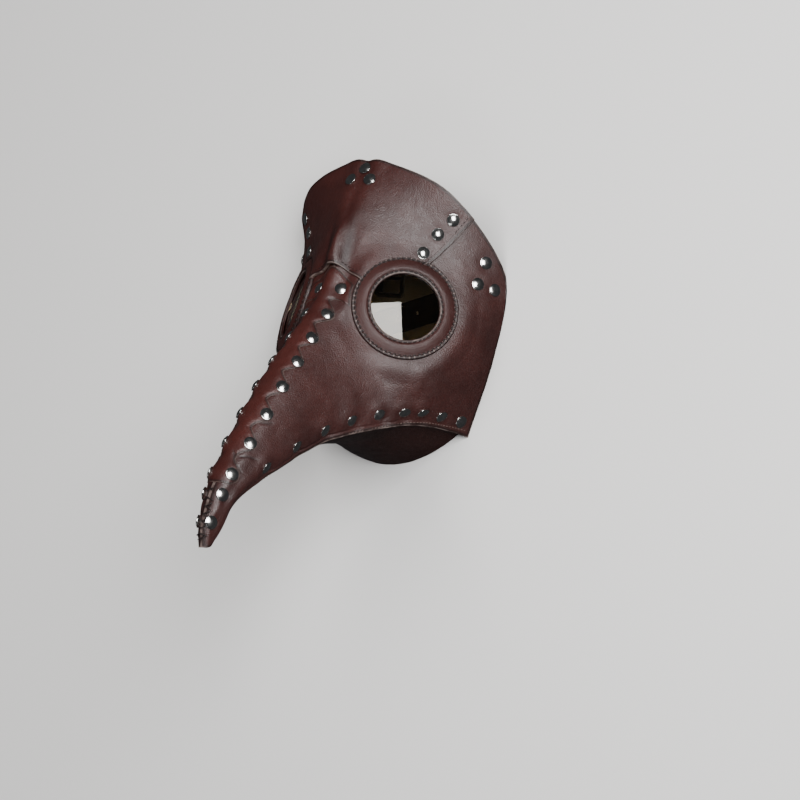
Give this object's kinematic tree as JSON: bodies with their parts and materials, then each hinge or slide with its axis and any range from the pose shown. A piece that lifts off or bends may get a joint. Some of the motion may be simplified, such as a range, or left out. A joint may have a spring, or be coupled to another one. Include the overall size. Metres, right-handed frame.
{
  "type": "leather plague doctor mask",
  "caption": "Long-beaked leather face mask with round lenses and domed rivets, lying face up on its rim, its head straps tucked inside.",
  "frame": {"origin": "on the plane of the rear rim that the mask lies on, at the middle of its bounding box", "axes": "+X to the wearer's left, +Y towards the crown, +Z away from the face, the way the beak points"},
  "size_m": [0.1772, 0.2844, 0.2043],
  "materials": {
    "shell_leather": "waxed dark red-brown leather, fine grain, satin, with brown stitching",
    "strip_leather": "waxed red-brown leather, scuffed pale along its scalloped edges",
    "chin_leather": "dark brown leather, satin",
    "ring_leather": "padded red-brown leather with double stitching, satin",
    "strap_leather": "dark brown strap leather, waxed",
    "nickel": "polished nickel plate",
    "lens": "clear sheet, tinted dark olive brown"
  },
  "bodies": {
    "root": {"brow_rivet_1_left": "nickel", "brow_rivet_1_right": "nickel", "brow_rivet_2_left": "nickel", "brow_rivet_2_right": "nickel", "brow_rivet_3_left": "nickel", "brow_rivet_3_right": "nickel", "buckle_frame": "nickel", "buckle_prong": "nickel", "cheek_panel_left": "shell_leather", "cheek_panel_right": "shell_leather", "chin_panel": "chin_leather", "crown_rivet_left": "nickel", "crown_rivet_middle": "nickel", "crown_rivet_right": "nickel", "eye_ring_left": "ring_leather", "eye_ring_right": "ring_leather", "forehead_panel": "shell_leather", "lens_left": "lens", "lens_right": "lens", "nose_strip": "strip_leather", "ridge_rivet_1_left": "nickel", "ridge_rivet_1_right": "nickel", "ridge_rivet_2_left": "nickel", "ridge_rivet_2_right": "nickel", "ridge_rivet_3_left": "nickel", "ridge_rivet_3_right": "nickel", "ridge_rivet_4_left": "nickel", "ridge_rivet_4_right": "nickel", "ridge_rivet_5_left": "nickel", "ridge_rivet_5_right": "nickel", "ridge_rivet_6_left": "nickel", "ridge_rivet_6_right": "nickel", "ridge_rivet_7_left": "nickel", "ridge_rivet_7_right": "nickel", "ridge_rivet_8_left": "nickel", "ridge_rivet_8_right": "nickel", "side_strap_left": "strap_leather", "side_strap_right": "strap_leather", "strap_keeper": "strap_leather", "temple_rivet_1_left": "nickel", "temple_rivet_1_right": "nickel", "temple_rivet_2_left": "nickel", "temple_rivet_2_right": "nickel", "temple_rivet_3_left": "nickel", "temple_rivet_3_right": "nickel", "tip_rivet_1_left": "nickel", "tip_rivet_1_right": "nickel", "tip_rivet_2_left": "nickel", "tip_rivet_2_right": "nickel"}
  },
  "joints": []
}
